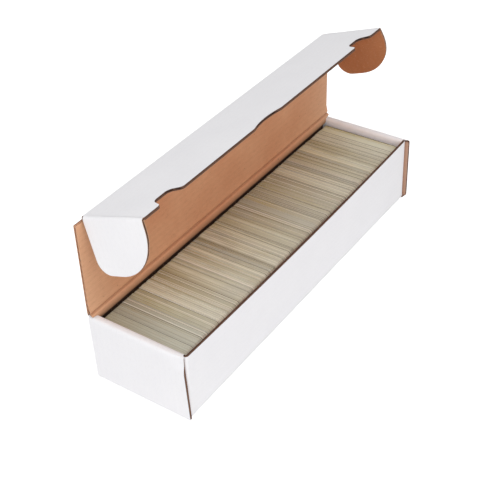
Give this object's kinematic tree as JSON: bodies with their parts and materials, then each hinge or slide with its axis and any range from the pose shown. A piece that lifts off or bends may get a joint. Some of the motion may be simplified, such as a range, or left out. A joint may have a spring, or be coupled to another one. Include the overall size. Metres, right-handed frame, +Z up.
{
  "type": "card storage box",
  "caption": "Long one-piece folding storage box of white-lined corrugated board, hinged tuck-front lid open, filled with a row of cards standing on edge.",
  "frame": {"origin": "middle of the tray's underside", "axes": "+X along the box, +Y towards the rear wall that carries the lid, +Z up"},
  "size_m": [0.3976, 0.101, 0.1955],
  "materials": {
    "white_board": "white liner on corrugated board, matt",
    "kraft_board": "brown kraft liner on corrugated board, matt",
    "cards": "stacked edges of card stock, matt"
  },
  "bodies": {
    "tray": {"bottom_panel": "white_board", "front_wall": "white_board", "rear_wall": "white_board", "front_bottom_crease": "white_board", "rear_bottom_crease": "white_board", "left_bottom_crease": "white_board", "right_bottom_crease": "white_board", "left_end_outer": "white_board", "left_end_roll": "white_board", "left_end_inner": "white_board", "front_left_corner_crease": "white_board", "front_left_dust_flap": "kraft_board", "rear_left_corner_crease": "white_board", "rear_left_dust_flap": "kraft_board", "right_end_outer": "white_board", "right_end_roll": "white_board", "right_end_inner": "white_board", "front_right_corner_crease": "white_board", "front_right_dust_flap": "kraft_board", "rear_right_corner_crease": "white_board", "rear_right_dust_flap": "kraft_board"},
    "lid_crease_body": {"lid_crease": "white_board"},
    "lid": {"lid_panel": "white_board", "flap_crease": "white_board"},
    "flap": {"tuck_flap": "white_board", "left_ear_crease": "white_board", "right_ear_crease": "white_board"},
    "left_ear_body": {"left_ear": "white_board"},
    "right_ear_body": {"right_ear": "white_board"},
    "card_pack_1_body": {"card_pack_1": "cards"},
    "card_pack_2_body": {"card_pack_2": "cards"},
    "card_pack_3_body": {"card_pack_3": "cards"},
    "card_pack_4_body": {"card_pack_4": "cards"},
    "card_pack_5_body": {"card_pack_5": "cards"},
    "card_pack_6_body": {"card_pack_6": "cards"}
  },
  "joints": [
    {"name": "lid_hinge", "type": "hinge", "parent": "tray", "child": "lid_crease_body", "pos_m": [0, 0.0493, 0.0755], "axis": [-1, 0, 0], "range_deg": [-49, 91]},
    {"name": "lid_press", "type": "hinge", "parent": "lid_crease_body", "child": "lid", "pos_m": [0, 0.0493, 0.0755], "axis": [-1, 0, 0], "range_deg": [-40, 0]},
    {"name": "flap_fold", "type": "hinge", "parent": "lid", "child": "flap", "pos_m": [0, 0.04763, 0.17139], "axis": [-1, 0, 0], "range_deg": [-20, 70]},
    {"name": "left_ear_fold", "type": "hinge", "parent": "flap", "child": "left_ear_body", "pos_m": [-0.1876, 0.04763, 0.17139], "axis": [0, 0.9455, -0.3256], "range_deg": [-5, 85]},
    {"name": "right_ear_fold", "type": "hinge", "parent": "flap", "child": "right_ear_body", "pos_m": [0.1876, 0.04763, 0.17139], "axis": [0, -0.9455, 0.3256], "range_deg": [-14, 76]},
    {"name": "card_pack_1_lift", "type": "slide", "parent": "tray", "child": "card_pack_1_body", "axis": [0, 0, 1], "range_m": [0, 0.085]},
    {"name": "card_pack_2_lift", "type": "slide", "parent": "tray", "child": "card_pack_2_body", "axis": [0, 0, 1], "range_m": [0, 0.085]},
    {"name": "card_pack_3_lift", "type": "slide", "parent": "tray", "child": "card_pack_3_body", "axis": [0, 0, 1], "range_m": [0, 0.085]},
    {"name": "card_pack_4_lift", "type": "slide", "parent": "tray", "child": "card_pack_4_body", "axis": [0, 0, 1], "range_m": [0, 0.085]},
    {"name": "card_pack_5_lift", "type": "slide", "parent": "tray", "child": "card_pack_5_body", "axis": [0, 0, 1], "range_m": [0, 0.085]},
    {"name": "card_pack_6_lift", "type": "slide", "parent": "tray", "child": "card_pack_6_body", "axis": [0, 0, 1], "range_m": [0, 0.085]}
  ]
}
